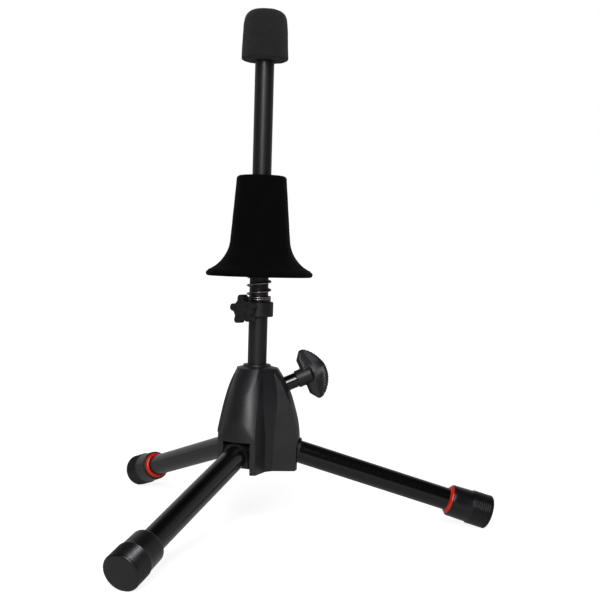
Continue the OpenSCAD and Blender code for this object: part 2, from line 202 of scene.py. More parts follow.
# ---- materials ----
class Shader:
    """A node material: short calls add nodes, and each call's inputs are values or other nodes' outputs."""

    def __init__(self, name):
        self.material = bpy.data.materials.new(name)
        self.material.use_nodes = True
        self.tree = self.material.node_tree
        self.surface = self.tree.nodes["Principled BSDF"]

    def add(self, kind, settings=None, **inputs):
        """A new node. An input is named with _ for a space, or numbered as n0, n1 and so on."""
        node = self.tree.nodes.new(kind)
        for key, value in (settings or {}).items():
            setattr(node, key, value)
        self.fill(node, inputs)
        return node

    def fill(self, node, inputs):
        """Sets a node's inputs to values or links them to other nodes' outputs."""
        for key, value in inputs.items():
            numbered = key[0] == "n" and key[1:].isdigit()
            socket = node.inputs[int(key[1:]) if numbered else key.replace("_", " ")]
            if hasattr(value, "is_output") and value.is_output:
                self.tree.links.new(value, socket)
            else:
                socket.default_value = value

    def place(self, scale=(1, 1, 1)):
        """The point being shaded, in metres in the row frame at rest, stretched by a scale."""
        point = self.add("ShaderNodeTexCoord").outputs["Object"]
        return self.add("ShaderNodeMapping", Vector=point, Scale=scale).outputs[0]

    def noise(self, size, detail=4.0, rough=0.55, stretch=(1, 1, 1)):
        """Noise between 0 and 1 whose blotches are about size millimetres across."""
        inputs = {"Scale": 1 / (size * MM), "Detail": detail, "Roughness": rough}
        return self.add("ShaderNodeTexNoise", Vector=self.place(stretch), **inputs).outputs[0]

    def ramp(self, value, low, high, to_low, to_high):
        """Maps the range low to high onto the range to_low to to_high."""
        node = self.add("ShaderNodeMapRange", n0=value, n1=low, n2=high, n3=to_low, n4=to_high)
        return node.outputs[0]

    def mix(self, factor, a, b):
        """A colour between a and b."""
        node = self.add("ShaderNodeMix", {"data_type": "RGBA"}, n0=factor, n6=a, n7=b)
        return node.outputs[2]

    def bump(self, height, depth, normal=None):
        """A bump whose full height is depth millimetres."""
        inputs = {"Height": height, "Distance": depth * MM, "Strength": 1.0}
        if normal is not None:
            inputs["Normal"] = normal
        return self.add("ShaderNodeBump", **inputs).outputs[0]

    def edge(self, radius):
        """Near 1 on sharp outer edges and near 0 elsewhere."""
        rounded = self.add("ShaderNodeBevel", {"samples": 4}, Radius=radius * MM).outputs[0]
        flat = self.add("ShaderNodeNewGeometry").outputs["Normal"]
        dot = self.add("ShaderNodeVectorMath", {"operation": "DOT_PRODUCT"}, n0=rounded, n1=flat)
        return self.ramp(dot.outputs["Value"], 0.995, 0.9, 0.0, 1.0)


def grey(level, warmth=0.0):
    """A colour from a grey level, a little warmer or cooler."""
    return (level * (1 + warmth), level, level * (1 - warmth), 1)


def moulded_plastic(name, level, rough, grain=0.35, grain_depth=0.02, worn=0.03, coat=0.0, spread=0.12):
    """Dark moulded plastic: uneven sheen, fine grain, and edges a little paler in patches, partly as rubbed
    wear and partly as a painted edge highlight.
    """
    s = Shader(name)
    blotch = s.noise(14, 3)
    fine = s.noise(grain, 2, 0.6)
    # Paler edges in patches: partly rubbed wear, partly a painted highlight along the edges; worn sets how
    # much paler they get.
    edge_of_wear_and_highlight = s.edge(0.5)
    patches_of_wear_and_highlight = s.ramp(s.noise(3, 5, 0.7), 0.45, 0.75, 0, 1)
    mix_of_wear_and_highlight = s.add("ShaderNodeMath", {"operation": "MULTIPLY"}, n0=edge_of_wear_and_highlight, n1=patches_of_wear_and_highlight).outputs[0]
    base = s.mix(blotch, grey(level * 0.8, -0.06), grey(level * 1.25, -0.03))
    s.fill(s.surface, {
        "Base Color": s.mix(mix_of_wear_and_highlight, base, grey(level + worn)),
        "Roughness": s.ramp(blotch, 0.3, 0.7, rough - spread / 2, rough + spread / 2),
        "Normal": s.bump(fine, grain_depth),
        "Coat Weight": coat,
    })
    return s.material


def painted_tube(name, level, rough, along):
    """Black paint on steel tube: faint orange peel, rubbing marks along the tube, and a little dust."""
    s = Shader(name)
    peel = s.noise(1.4, 2, 0.4)
    brushed = s.noise(1.0, 3, 0.6, along)
    dust = s.ramp(s.noise(6, 6, 0.7), 0.55, 0.8, 0, 0.35)
    s.fill(s.surface, {
        "Base Color": s.mix(dust, grey(level), grey(level * 2.2, 0.08)),
        "Roughness": s.ramp(brushed, 0.3, 0.7, rough - 0.05, rough + 0.07),
        "Normal": s.bump(peel, 0.012),
        "Specular IOR Level": 0.5,
    })
    return s.material


def foam_material():
    """Closed-cell black foam: pores painted darker as shade inside them, crumbs and soft sheen."""
    s = Shader("foam")
    cells = s.add("ShaderNodeTexVoronoi", Vector=s.place(), Scale=1 / (0.55 * MM)).outputs["Distance"]
    crumbs = s.noise(0.4, 4, 0.7)
    patches = s.noise(7, 4, 0.6)
    # The pore mask shapes the pore hollows and also paints them darker, as shade inside the cells.
    pore_and_shade = s.ramp(cells, 0.1, 0.5, 0.0, 1.0)
    tone = s.mix(patches, grey(0.010, -0.02), grey(0.016, 0.0))
    s.fill(s.surface, {
        "Base Color": s.mix(pore_and_shade, grey(0.004), tone),
        "Roughness": 0.95,
        "Specular IOR Level": 0.25,
        "Sheen Weight": 0.06,
        "Sheen Roughness": 0.6,
        "Normal": s.bump(crumbs, 0.12, s.bump(pore_and_shade, 0.12)),
    })
    return s.material


def velvet_material():
    """Very black velvet whose nap lies in soft patches."""
    s = Shader("velvet")
    nap = s.noise(9, 5, 0.65, (1, 1, 0.55))
    fibre = s.noise(0.22, 2, 0.6)
    s.fill(s.surface, {
        "Base Color": s.mix(nap, grey(0.0016), grey(0.0034)),
        "Roughness": 1.0,
        "Specular IOR Level": 0.05,
        "Sheen Weight": s.ramp(nap, 0.3, 0.7, 0.02, 0.06),
        "Sheen Roughness": 0.35,
        "Sheen Tint": grey(0.6),
        "Normal": s.bump(fibre, 0.16),
    })
    return s.material


def ring_material():
    """Glossy orange-red rubber."""
    s = Shader("ring_red")
    cloud = s.noise(5, 4)
    s.fill(s.surface, {
        "Base Color": s.mix(cloud, (0.58, 0.010, 0.002, 1), (0.72, 0.024, 0.004, 1)),
        "Roughness": s.ramp(cloud, 0.3, 0.7, 0.22, 0.36),
        "Normal": s.bump(s.noise(0.8, 2), 0.01),
    })
    return s.material


def metal(name, colour, dark, rough, size=4.0):
    """Metal with tarnish in patches and fine drawing marks."""
    s = Shader(name)
    tarnish = s.ramp(s.noise(size, 5, 0.65), 0.4, 0.7, 0, 1)
    s.fill(s.surface, {
        "Base Color": s.mix(tarnish, colour, dark),
        "Metallic": 1.0,
        "Roughness": s.ramp(tarnish, 0, 1, rough, rough + 0.18),
        "Normal": s.bump(s.noise(0.3, 3), 0.006),
    })
    return s.material


MATERIALS = {
    "hub": moulded_plastic("hub", 0.011, 0.40, grain=0.5, grain_depth=0.012),
    "knuckle": moulded_plastic("knuckle", 0.008, 0.35),
    "tube_black": painted_tube("tube_black", 0.0022, 0.16, (1, 1, 1)),
    "rod_black": painted_tube("rod_black", 0.006, 0.40, (1, 1, 0.05)),
    "cap_rubber": moulded_plastic("cap_rubber", 0.004, 0.31, grain=0.4, grain_depth=0.012),
    "ring_red": ring_material(),
    "foam": foam_material(),
    "velvet": velvet_material(),
    "core_plastic": moulded_plastic("core_plastic", 0.010, 0.5),
    "spring_steel": metal("spring_steel", (0.42, 0.39, 0.36, 1), (0.12, 0.10, 0.09, 1), 0.30),
    "collar_plastic": moulded_plastic("collar_plastic", 0.004, 0.47),
    "knob_plastic": moulded_plastic("knob_plastic", 0.0055, 0.47, grain=0.4, grain_depth=0.015),
    "sleeve_gloss": moulded_plastic("sleeve_gloss", 0.002, 0.1, grain=2, grain_depth=0.003, spread=0.04),
    "steel": metal("steel", (0.62, 0.63, 0.64, 1), (0.3, 0.3, 0.31, 1), 0.24),
    "brass": metal("brass", (0.7, 0.5, 0.22, 1), (0.4, 0.27, 0.12, 1), 0.3),
    "plug_plastic": moulded_plastic("plug_plastic", 0.02, 0.55),
}


# ---- hub ----
# The ogive's radius at its foot, and how far it stands over the slotted part below
HUB_R = 37.0
LIP = 0.9
# A leg's slot: its ceiling, half its width, its back wall's distance from the rod, and the eye's room
SLOT_Z = HUB_Z0 + 26.6
SLOT_HW = 12.3
SLOT_BACK = PIVOT_R - 10.4
EYE_ROOM = 9.8
# Where the ogive meets the crown, and how far a nose's centre is from the rod's axis
CROWN_R = 17.9
CROWN_Z = HUB_Z1 - 3
NOSE_X = 10.3
# Half a lobe's width at its foot, and the two terms by which its front and its root narrow to the top
LOBE_HW = 16.4
FRONT_TAPER = (4.2, 0.6)
ROOT_TAPER = (2.3, 2.6)
# The valleys' floors: distance from the rod's axis at the foot, lean at the top, and the lean's two heights
WEB_R = 21.3
WEB_LEAN = 5.1
WEB_LOW = HUB_Z0 + 48.5
WEB_HIGH = HUB_Z1 - 2.8
# The angle from a lobe's middle beyond which its front may end in a valley
WEB_FROM = math.radians(31)
# Steps along a lobe's front from its middle to the slot's edge
BEND = 8
# Radius and height up the ogive, and up the nose that rounds each lobe's front
CHEEK_Z = HUB_Z0 + 66.5
OGIVE = bezier([(HUB_R + LIP, SLOT_Z), (HUB_R, HUB_Z0 + 44.5), (31.5, CHEEK_Z), (CROWN_R, CROWN_Z)], 40)
NOSE = bezier([(29.5, SLOT_Z), (26, HUB_Z0 + 41.5), (20.6, CHEEK_Z), (10.4, CROWN_Z)], 60)
# Radius over the crown to the lip round the rod, and how far each is below the hub's top
CROWN_STEPS = ((15.4, 2.35), (12.2, 1.6), (11.8, 1.4), (11.6, 0.2), (11.4, 0))
CROWN = [(radius, HUB_Z1 - below) for radius, below in CROWN_STEPS]


def up_the_hub(z):
    """0 just over the slots' ceiling and 1 at the hub's top."""
    foot = SLOT_Z + 0.4
    return min(max((z - foot) / (HUB_Z1 - foot), 0.0), 1.0)


def lobe_half_widths(z):
    """Half the width of a lobe at its front and at its root."""
    t = up_the_hub(z)
    front = LOBE_HW - FRONT_TAPER[0] * t - FRONT_TAPER[1] * t ** 4
    root = LOBE_HW - ROOT_TAPER[0] * t - ROOT_TAPER[1] * t * t
    return front, root


def web_distance(z):
    """How far the floor of a valley between two lobes stands from the rod's axis."""
    return WEB_R - WEB_LEAN * max(0.0, (z - WEB_LOW) / (WEB_HIGH - WEB_LOW)) ** 2


def nose_distance(angle, z):
    """How far a lobe's nose reaches from the rod's axis, at an angle from the lobe's middle."""
    if z <= SLOT_Z:
        return math.inf
    radius = np.interp(z, [q[1] for q in NOSE], [q[0] for q in NOSE])
    inside = radius ** 2 - (NOSE_X * math.sin(angle)) ** 2
    return NOSE_X * math.cos(angle) + math.sqrt(inside) if inside > 0 else 0.0


def hub_ring(radius, z):
    """Half a lobe's outline, from its middle to a valley's middle, as its front and the valley's floor."""
    sixty = math.radians(60)
    near_gap = 0.3
    front_w, root_w = lobe_half_widths(z)
    d = web_distance(z)
    root_x = (d - root_w * math.sin(sixty)) / math.cos(sixty)
    root = math.atan2(root_w, root_x)

    def front_at(a):
        """The lobe's front at an angle: the ogive, cut back by the nose."""
        return min(radius, nose_distance(a, z)) if radius > CROWN_R - 1 else radius

    def floor_at(a):
        """The valley's flat floor at an angle."""
        return min(radius, d / math.cos(sixty - a))

    def is_front(a):
        """Whether the outline at an angle still belongs to the front."""
        return front_at(a) * math.sin(a) <= front_w and (a < WEB_FROM or front_at(a) >= floor_at(a))

    fine = np.linspace(0, root, 400)
    near = [is_front(a) for a in fine]
    outer = fine[near.index(False) - 1] if False in near and radius > d else root
    if front_at(outer) <= floor_at(outer) + near_gap:
        root = outer
    slot = math.asin(min(1.0, SLOT_HW / radius))
    bend = min(outer, slot)
    angles = list(np.linspace(0, bend, BEND + 1)) + list(np.linspace(bend, outer, 4))[1:]
    front = [(front_at(a) * math.cos(a), front_at(a) * math.sin(a)) for a in angles]
    floor = [(floor_at(a) * math.cos(a), floor_at(a) * math.sin(a)) for a in np.linspace(root, sixty, 7)]
    return front, floor


def hub_shell():
    """The hub: three lobes round the rod, each with a leg's slot below, made as six mirrored halves."""
    shell = Shell()
    upper = [hub_ring(r, z) + (z,) for r, z in OGIVE + CROWN]
    lower = [hub_ring(HUB_R, z) + (z,) for z in (BASE_TOP, (BASE_TOP + SLOT_Z) / 2, SLOT_Z)]
    trough = recess_profile()
    for turn in (0, 120, 240):
        spin = Matrix.Rotation(math.radians(turn), 4, "Z")
        for side in (1, -1):
            def put(p, z, spin=spin, side=side):
                """A point of this half, turned to its lobe and side."""
                return tuple(spin @ Vector((p[0], side * p[1], z)))

            def add(corners, side=side):
                """A face of this half, facing outwards on either side."""
                shell.face(corners if side > 0 else corners[::-1])

            skin(add, put, upper, 0)
            skin(add, put, lower, BEND)
            step_and_sides(add, put, upper, lower, trough)
            bore_and_caps(add, put, upper[-1], lower[0])
    return shell


def recess_profile():
    """Distance and height along the slot's ceiling, with the hollow where the leg's eye turns."""
    half = math.degrees(math.acos((SLOT_Z - PIVOT_Z) / EYE_ROOM))
    hollow = arc((PIVOT_R, PIVOT_Z), EYE_ROOM, 90 + half, 90 - half, 12)
    return [(SLOT_BACK, SLOT_Z)] + hollow


def skin(add, put, rings, first):
    """Outer faces between the rings of half a lobe, from a step along its front to the valley's middle."""
    for (arc_a, floor_a, za), (arc_b, floor_b, zb) in zip(rings, rings[1:]):
        line_a, line_b = arc_a[first:] + floor_a, arc_b[first:] + floor_b
        for j in range(len(line_a) - 1):
            if first == 0 and za == SLOT_Z and j == len(arc_a) - 1:
                continue
            add([put(line_a[j], za), put(line_a[j + 1], za), put(line_b[j + 1], zb), put(line_b[j], zb)])


def step_and_sides(add, put, upper, lower, trough):
    """What joins the ogive to the slotted foot: the lip under the ogive, the lobe's side and the slot."""
    arc_u, floor_u, z = upper[0]
    arc_n, floor_n, z_n = upper[1]
    arc_l = lower[-1][0]
    z0 = lower[0][2]
    for j in range(BEND, len(arc_u) - 1):
        add([put(arc_u[j], z), put(arc_l[j], z), put(arc_l[j + 1], z), put(arc_u[j + 1], z)])
    side = [put(arc_u[-1], z), put(arc_l[-1], z), put(floor_u[0], z)]
    add(side + [put(floor_n[0], z_n), put(arc_n[-1], z_n)])
    mouth = arc_l[BEND]
    wall = [(p[0], SLOT_HW, p[1]) for p in trough] + [(mouth[0], SLOT_HW, z)]
    foot = [(ring[0][BEND][0], SLOT_HW, ring[2]) for ring in reversed(lower[:-1])]
    wall += foot + [(SLOT_BACK, SLOT_HW, z0)]
    add([put(p[:2], p[2]) for p in wall])
    for a, b in zip(trough, trough[1:]):
        strip = [((a[0], 0), a[1]), ((b[0], 0), b[1]), ((b[0], SLOT_HW), b[1]), ((a[0], SLOT_HW), a[1])]
        add([put(*corner) for corner in strip])
    last = trough[-1]
    ceiling = [put((last[0], 0), z)] + [put(p, z) for p in arc_u[:BEND + 1]]
    ceiling += [put(mouth, z), put((last[0], SLOT_HW), z)]
    add(ceiling)
    back = [(0, z0), (0, SLOT_Z), (SLOT_HW, SLOT_Z), (SLOT_HW, z0)]
    add([put((SLOT_BACK, across), height) for across, height in back])


def bore_and_caps(add, put, top, bottom):
    """The top face, the rod's bore and the underside of half a lobe."""
    bore = ROD_R + 0.05
    mouth = ROD_R + 0.9
    outline = top[0] + top[1]
    steps = [(outline, HUB_Z1)]
    angles = [math.atan2(p[1], p[0]) for p in outline]
    for radius, z in ((mouth, HUB_Z1), (bore, HUB_Z1 - 0.6), (bore, bottom[2])):
        steps.append(([(radius * math.cos(a), radius * math.sin(a)) for a in angles], z))
    for (line_a, za), (line_b, zb) in zip(steps, steps[1:]):
        for j in range(len(line_a) - 1):
            add([put(line_a[j], za), put(line_a[j + 1], za), put(line_b[j + 1], zb), put(line_b[j], zb)])
    z = bottom[2]
    inner = [(bore * math.cos(a), bore * math.sin(a)) for a in angles]
    rim = [(SLOT_BACK, 0), (SLOT_BACK, SLOT_HW)] + bottom[0][BEND:] + bottom[1]
    ring = [Vector((p[0], p[1], 0)) for p in rim + inner[::-1]]
    flat = [(p.x, p.y) for p in ring]
    for a, b, c in geometry.tessellate_polygon([ring]):
        add([put(flat[a], z), put(flat[b], z), put(flat[c], z)])


def build_hub():
    """The hub's moulding, with its edges eased."""
    shell = hub_shell()
    hub = make_piece("hub_moulding", shell.points, shell.faces, ON_ROD, "hub", "hub_body", "hub")
    fix_normals(hub.data)
    round_edges(hub, 0.45, 22)


def fix_normals(mesh):
    """Joins corners that coincide and turns every face outwards."""
    work = bmesh.new()
    work.from_mesh(mesh)
    bmesh.ops.remove_doubles(work, verts=work.verts, dist=1e-6)
    bmesh.ops.recalc_face_normals(work, faces=work.faces)
    work.to_mesh(mesh)
    work.free()


# ---- soft pieces ----
# A lathe's profile stops this far from the axis, so that no face has two corners in one place
PIN_HOLE = 0.02


def build_foam():
    """The foam tip: a thick skin of cells with a slightly uneven outline, round the rod's end."""
    z0, z1 = FOAM_LOW.z, FOAM_HIGH.z
    foot_r = (FOAM_HIGH.x - FOAM_LOW.x) / 2
    taper = 0.9
    edge, side = 2, 22
    shoulder = z0 + edge + side
    hole, hole_top = ROD_R + 0.02, ROD_HIGH.z + 1.6

    outer = arc((foot_r - edge, z0 + edge), edge, -90, 0, 8)
    heights = np.linspace(z0 + edge, shoulder, 64)[1:]
    outer += [(foot_r - taper * (z - z0 - edge) / side, z) for z in heights]
    dome = [(foot_r - taper, shoulder), (foot_r - 1.6, z1 - 4), (foot_r - 2.7, z1 - 0.1), (PIN_HOLE, z1)]
    outer += bezier(dome, 90)[1:]
    under = [(r, z0) for r in np.linspace(hole, foot_r - edge, 30)[:-1]]
    points, faces = lathe([(PIN_HOLE, hole_top), (hole, hole_top)] + under + outer, 340)

    def in_the_hole(v):
        """Whether a point belongs to the hole for the rod, which stays smooth."""
        radius = math.hypot(v.x, v.y)
        if v.z < z0 + 0.01:
            return radius < hole + 0.4
        return radius < hole + 0.1 and v.z < z1 - 2

    def outwards(v):
        """The way the skin faces: down below, sideways on the wall, and up and out on the dome."""
        if v.z < z0 + 0.5:
            return Vector((0, 0, -1))
        if v.z < z1 - 8:
            return Vector((v.x, v.y, 0)).normalized()
        return (v - Vector((0, 0, z1 - 20))).normalized()

    rough = []
    for v in (Vector(p) for p in points):
        if in_the_hole(v):
            rough.append(v)
            continue
        pores = noise.noise(v / 0.9) * 0.10 + noise.noise(v / 0.5) * 0.07
        lumps = noise.noise(v / 6) * 0.22
        lift = min(0.0, pores) * 1.6 + lumps - 0.1
        rough.append(v + outwards(v) * min(lift, 0.25))
    make_piece("foam_tip_cells", rough, faces, ON_ROD, "rod", "foam_tip", "foam", 60)


def build_velvet():
    """The cone's velvet: a thin closed sleeve over the core, with a soft, slightly restless surface."""
    z0, z1 = CONE_LOW.z, CONE_HIGH.z
    rim = (CONE_HIGH.x - CONE_LOW.x) / 2
    thick = 1.0
    roll = 2.3
    waist_r, waist = 25.4, z0 + 28.7
    crown_r, crown = 18.2, z1 - 3
    hem_r, hole = rim - 7, ROD_R + 0.6

    def line(t):
        """The sleeve's outline from under the rim to the crown's edge, t inside its outer face."""
        flare = bezier([(43, z0 + 5.4 - t), (34.5 - 0.5 * t, z0 + 8.7 - 0.9 * t),
                        (27 - 0.9 * t, z0 + 17.7 - 0.5 * t), (waist_r - t, waist)], 60)
        wall = [(waist_r - t - 4.3 * s, waist + (z1 - 3.4 - waist) * s) for s in np.linspace(0, 1, 90)[1:]]
        rolled_rim = arc((rim - roll, z0 + roll), roll - t, -90, 75, 14)
        return rolled_rim + flare + wall + arc((crown_r, crown), 3 - t, 10, 90, 10)

    outer, inner = line(0), line(thick)
    under = [(r, z0) for r in np.linspace(hem_r, rim - roll, 12)[:-1]]
    top = [(r, z1) for r in np.linspace(crown_r, hole, 24)[1:]]
    profile = [(hem_r, z0 + thick)] + under + outer + top + [(hole, z1 - thick)] + inner[::-1]
    points, faces = lathe(profile, 400)
    outside = range(3, len(under) + len(outer) + len(top))
    soft = []
    for i, p in enumerate(points):
        v = Vector(p)
        if i % len(profile) in outside:
            nap = noise.noise(v / 0.8) * 0.07 + noise.noise(v / 9) * 0.12 - 0.08
            v += Vector((v.x, v.y, 0)).normalized() * nap
        soft.append(v)
    make_piece("velvet_cover", soft, faces, ON_ROD, "bell_cone", "cone_cover", "velvet", 70)


# ---- spring ----
def build_spring():
    """A round-wire coil with closed ends."""
    z0, z1 = SPRING_LOW.z, SPRING_HIGH.z
    wire = 0.8
    middle = (SPRING_HIGH.x - SPRING_LOW.x) / 2 - wire
    closed, open_turns = 2.2, 2.9
    turns = 2 * closed + open_turns
    flat_pitch = 2 * wire + 0.03
    steep_pitch = (z1 - z0 - 2 * wire - 2 * closed * flat_pitch) / open_turns
    steps, sides = 72, 20
    rings = int(turns * steps)
    points = []
    for i in range(rings + 1):
        n = turns * i / rings
        steep_turns = min(max(n - closed, 0), open_turns)
        rise = flat_pitch * n + (steep_pitch - flat_pitch) * steep_turns
        a = 2 * math.pi * n
        for j in range(sides):
            b = 2 * math.pi * j / sides
            m = middle + wire * math.cos(b)
            points.append((m * math.cos(a), m * math.sin(a), z0 + wire + rise + wire * math.sin(b)))
    faces = loft_faces(rings + 1, sides)
    coil = make_piece("spring_coil", points, faces, ON_ROD, "spring_seat", "spring", "spring_steel")
    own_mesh(coil)


# ---- wing knob ----
# The wing along its axis: its inner edge, its rim's farthest point and the rim's radius
WING_IN = 16.5
WING_OUT = 37.8
WING_ARC = 25.0
# Where along the half span the inner edge starts to slope outwards, and its slope
TIP_FROM = 15.0
TIP_SLOPE = 0.75
# The wing across: half its span, its thickness, what is added in the middle and taken off at the tips
WING_HALF = 22.1
WING_T = 8.4
MIDDLE_EXTRA = 1.6
TIP_LESS = 1.1
# The tips: their thickness at the very end as a share of the wing's, and how suddenly they close
CUT_TIP = 0.45
TIP_POWER = 20
# How far the two halves are pitched in degrees, over what length they turn, and the knob's roll
WING_PITCH = 20
TURN_LEN = 9.0
WING_ROLL = -18
# The section: how square it is, how hollow its faces are worn, and the ribs on its rim
SQUARENESS = 0.45
HOLLOW = 0.16
RIM_RIB, RIM_PITCH = 0.28, 2.1
# The boss: its two ends, its radius and the stud's hole
BOSS_IN = 10.6
BOSS_END = 25.0
BOSS_R = 7.4
BOSS_BORE = 4.0


def joint_frame(name):
    """The frame of a joint: +X along its axis and +Y level, in millimetres."""
    joint = JOINTS[name]
    x = Vector(joint["axis"]).normalized()
    y = Vector((0, 0, 1)).cross(x).normalized()
    turned = Matrix((x, y, x.cross(y))).transposed().to_4x4()
    return Matrix.Translation(Vector(joint["pos_m"]) / MM) @ turned


def wing_section(s, count=44):
    """A closed section of the wing at a distance s along its span, as (outwards, across) points."""
    a = abs(s)
    start = WING_IN + max(0.0, a - TIP_FROM) * TIP_SLOPE
    end = WING_OUT - WING_ARC + math.sqrt(WING_ARC ** 2 - s * s)
    middle, half_chord = (start + end) / 2, (end - start) / 2
    turned = min(a / TURN_LEN, 1.0)
    pitch = math.copysign(math.radians(WING_PITCH) * turned * turned * (3 - 2 * turned), s)
    share = a / WING_HALF
    blade = WING_T / 2 + MIDDLE_EXTRA * (1 - turned) - TIP_LESS * share ** 2
    half_thick = blade * (CUT_TIP + (1 - CUT_TIP) * math.sqrt(max(1 - share ** TIP_POWER, 0.0)))
    points = []
    for i in range(count):
        b = 2 * math.pi * i / count
        u = math.copysign(abs(math.cos(b)) ** SQUARENESS, math.cos(b)) * half_chord
        v = math.copysign(abs(math.sin(b)) ** SQUARENESS, math.sin(b)) * half_thick
        v *= 1 - HOLLOW * math.cos(u / half_chord * math.pi / 2) ** 2
        if u > 0.8 * half_chord:
            u += RIM_RIB * math.cos(2 * math.pi * s / RIM_PITCH)
        outwards = middle + u * math.cos(pitch) - v * math.sin(pitch)
        points.append((outwards, u * math.sin(pitch) + v * math.cos(pitch)))
    return points


def build_wing():
    """The wing knob: a twisted, finger-worn wing with a ribbed rim on a round boss, moulded in one."""
    stations = np.linspace(-WING_HALF, WING_HALF, 173)
    sections = [wing_section(s) for s in stations]
    points = [(x, y, s) for s, section in zip(stations, sections) for x, y in section]
    faces = loft_faces(len(stations), len(sections[0]))
    edge = 1.5
    boss = [(BOSS_BORE, BOSS_IN), (BOSS_R - 0.5, BOSS_IN), (BOSS_R, BOSS_IN + 0.5)]
    boss += [(BOSS_R, BOSS_END - edge), (BOSS_R - edge, BOSS_END), (0.01, BOSS_END + edge)]
    boss += [(0.01, BOSS_END - 1), (BOSS_BORE, BOSS_END - 1)]
    ring, ring_faces = lathe(boss, 64)
    offset = len(points)
    points += [(z, x, y) for x, y, z in ring]
    faces += [tuple(offset + i for i in face) for face in ring_faces]
    place = joint_frame("wing_turn") @ Matrix.Rotation(math.radians(WING_ROLL), 4, "X")
    knob = make_piece("wing_knob", points, faces, place, "wing", "t_knob", "knob_plastic", 60)
    fix_normals(knob.data)
    melt = knob.modifiers.new("moulded_in_one", "REMESH")
    melt.mode = "VOXEL"
    melt.voxel_size = 0.32 * MM
    melt.use_smooth_shade = True
    ease = knob.modifiers.new("eased", "SMOOTH")
    ease.factor, ease.iterations = 0.5, 3


# ---- feet ----
# The rubber cap: radius, length, rounded edge, and the ribs' start, pitch, number and height
CAP_R = 14.7
CAP_LEN = 36.5
CAP_EDGE = 2.0
RIB_START = 2.7
RIB_PITCH = 1.9
RIBS = 8
RIB_HEIGHT = 0.68
# Points along one rib
RIB_STEPS = 12
# Inside the cap: the ring's socket, the bore for the tube, and where the tube stops
SOCKET_R = 11.02
SOCKET_DEPTH = 4.6
TUBE_BORE = LEG_R + 0.02
TUBE_STOP = 5
# How far the red ring stands out of the cap
RING_OUT = 2.6


def cap_profile():
    """The cap's outline from the middle of its foot, over the ribs and the plain collar, to its inside."""
    wall = CAP_R - 0.78
    profile = [(PIN_HOLE, 0.0), (3, 0.0), (6, 0.0), (9, 0.0)]
    profile += arc((CAP_R - CAP_EDGE, CAP_EDGE), CAP_EDGE, -90, 0, 12)
    for i in range(RIBS * RIB_STEPS + 1):
        wave = 0.5 - 0.5 * math.cos(2 * math.pi * i / RIB_STEPS)
        profile.append((wall + RIB_HEIGHT * wave ** 0.8, RIB_START + RIB_PITCH * i / RIB_STEPS))
    end = RIB_START + RIBS * RIB_PITCH
    profile += [(CAP_R - 0.75, end + 0.2), (CAP_R - 0.86, end + 0.6)]
    low, high = end + 0.8, CAP_LEN - 0.8
    profile += [(CAP_R - 0.9 - 0.4 * s, low + (high - low) * s) for s in np.linspace(0, 1, 8)]
    profile += [(13.2, CAP_LEN - 0.25), (13.02, CAP_LEN - 0.07), (12.75, CAP_LEN)]
    socket = CAP_LEN - SOCKET_DEPTH
    profile += [(SOCKET_R, CAP_LEN), (SOCKET_R, socket), (TUBE_BORE, socket)]
    return profile + [(TUBE_BORE, TUBE_STOP), (PIN_HOLE, TUBE_STOP)]


def ring_profile():
    """The red ring's outline: seated in the cap, with a rounded nose outside."""
    seat, face, tip = CAP_LEN - 4.5, CAP_LEN + 0.02, CAP_LEN + RING_OUT
    nose = bezier([(12.1, face), (12.0, CAP_LEN + 1.1), (11.1, CAP_LEN + 2.2), (9.7, tip)], 16)
    return [(TUBE_BORE, seat), (11, seat), (11, face)] + nose + [(TUBE_BORE, tip)]


def build_foot(k):
    """A foot's rubber cap with rounded ribs, worn flat where it stands, and its red ring."""
    body, cap, ring = (leg_name(part, k) for part in ("leg", "cap", "ring"))
    up_the_leg = Matrix.Rotation(math.radians(-90), 4, "Y")
    place = leg_frame(k) @ Matrix.Translation((LEG_LEN, 0, 0)) @ up_the_leg
    points, faces = lathe(cap_profile(), 144)
    floored = [place @ Vector(p) for p in points]
    for v in floored:
        v.z = max(v.z, 0.0)
    make_piece(cap, floored, faces, Matrix.Identity(4), body, leg_name("foot_cap", k), "cap_rubber", 40)
    points, faces = lathe(ring_profile(), 144)
    make_piece(ring, points, faces, place, body, leg_name("foot_ring", k), "ring_red", 40)


# ---- CAD nodes that stay ----
# Each material's CAD nodes
NODES_OF = {
    "hub": ["hub_base", "hub_body"],
    "knuckle": [leg_name("leg_knuckle", k) for k in LEGS],
    "tube_black": [leg_name("leg_tube", k) for k in LEGS],
    "ring_red": [leg_name("foot_ring", k) for k in LEGS],
    "cap_rubber": [leg_name("foot_cap", k) for k in LEGS],
    "steel": ["base_screws", "pivot_pins", "star_stud", "t_stud"],
    "brass": ["collar_pad", "clamp_pad"],
    "sleeve_gloss": ["t_sleeve"],
    "rod_black": ["rod_tube"],
    "plug_plastic": ["rod_bottom_plug", "rod_top_plug"],
    "foam": ["foam_tip"],
    "core_plastic": ["cone_core"],
    "velvet": ["cone_cover"],
    "spring_steel": ["spring"],
    "collar_plastic": ["stop_collar"],
    "knob_plastic": ["star_knob", "t_knob"],
}
# The rounding of the edges of the nodes that show
ROUNDED = {
    "hub_base": 0.4, "stop_collar": 0.4, "star_knob": 0.35, "t_sleeve": 0.3,
    "collar_pad": 0.2, "clamp_pad": 0.2, "star_stud": 0.2, "t_stud": 0.2, "cone_core": 0.2,
    "base_screws": 0.15, "rod_tube": 0.15,
}
ROUNDED.update({leg_name("leg_knuckle", k): 0.35 for k in LEGS})


def finish_nodes():
    """Gives every CAD node its material, and rounds the edges of those that show."""
    for material, names in NODES_OF.items():
        for name in names:
            node = NODES[name]
            node.data.materials.clear()
            node.data.materials.append(MATERIALS[material])
            if name in ROUNDED and not node.hide_render:
                soften(node, ROUNDED[name])


